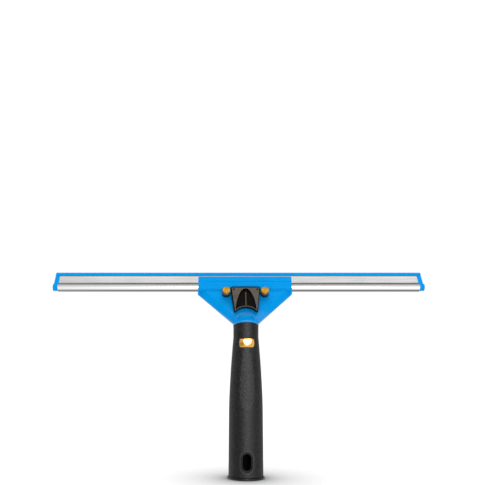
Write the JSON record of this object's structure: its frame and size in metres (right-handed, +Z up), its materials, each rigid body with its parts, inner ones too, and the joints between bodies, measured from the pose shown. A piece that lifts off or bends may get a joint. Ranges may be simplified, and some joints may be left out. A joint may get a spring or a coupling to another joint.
{
  "type": "window squeegee",
  "caption": "Hand squeegee: hollow grip, leaning clamp head with a release lever, steel channel and rubber blade that slide sideways in the head.",
  "frame": {"origin": "centre of the handle's foot, on the socket's axis, in the plane that the tool stands on", "axes": "+Z up along the handle, +X to the right along the blade, -Y to the front, where the lever and the thumb scoop are"},
  "size_m": [0.3594, 0.0439, 0.1974],
  "materials": {
    "core_plastic": "satin black moulding",
    "grip_rubber": "grained matt black",
    "blue_plastic": "glossy blue moulding",
    "black_plastic": "glossy black moulding",
    "brass": "turned and polished",
    "screw_steel": "plated",
    "spring_steel": "drawn wire",
    "channel_steel": "polished stainless",
    "blade_rubber": "smooth blue rubber"
  },
  "bodies": {
    "handle": {"handle_core": "core_plastic", "grip_sleeve": "grip_rubber", "neck_post": "brass", "neck_screw": "screw_steel", "front_shell": "blue_plastic", "rear_shell": "blue_plastic", "collar_left": "black_plastic", "collar_right": "black_plastic", "stud_post_left": "brass", "stud_post_right": "brass", "rear_screw_left": "screw_steel", "rear_screw_right": "screw_steel", "lever_pin_left": "screw_steel", "lever_pin_right": "screw_steel", "lever_spring_left": "spring_steel", "lever_spring_right": "spring_steel"},
    "lever": {"release_lever": "black_plastic"},
    "blade": {"channel": "channel_steel", "rubber_blade": "blade_rubber"}
  },
  "joints": [
    {"name": "lever_pivot", "type": "hinge", "parent": "handle", "child": "lever", "pos_m": [0, 0.00643, 0.17609], "axis": [-1, 0, 0], "range_deg": [0, 60], "stiffness_Nm_per_rad": 0.01, "springref_deg": -40.11, "deforming": ["lever_spring_left", "lever_spring_right"]},
    {"name": "blade_slide", "type": "slide", "parent": "handle", "child": "blade", "axis": [1, 0, 0], "range_m": [-0.119, 0.131]}
  ]
}
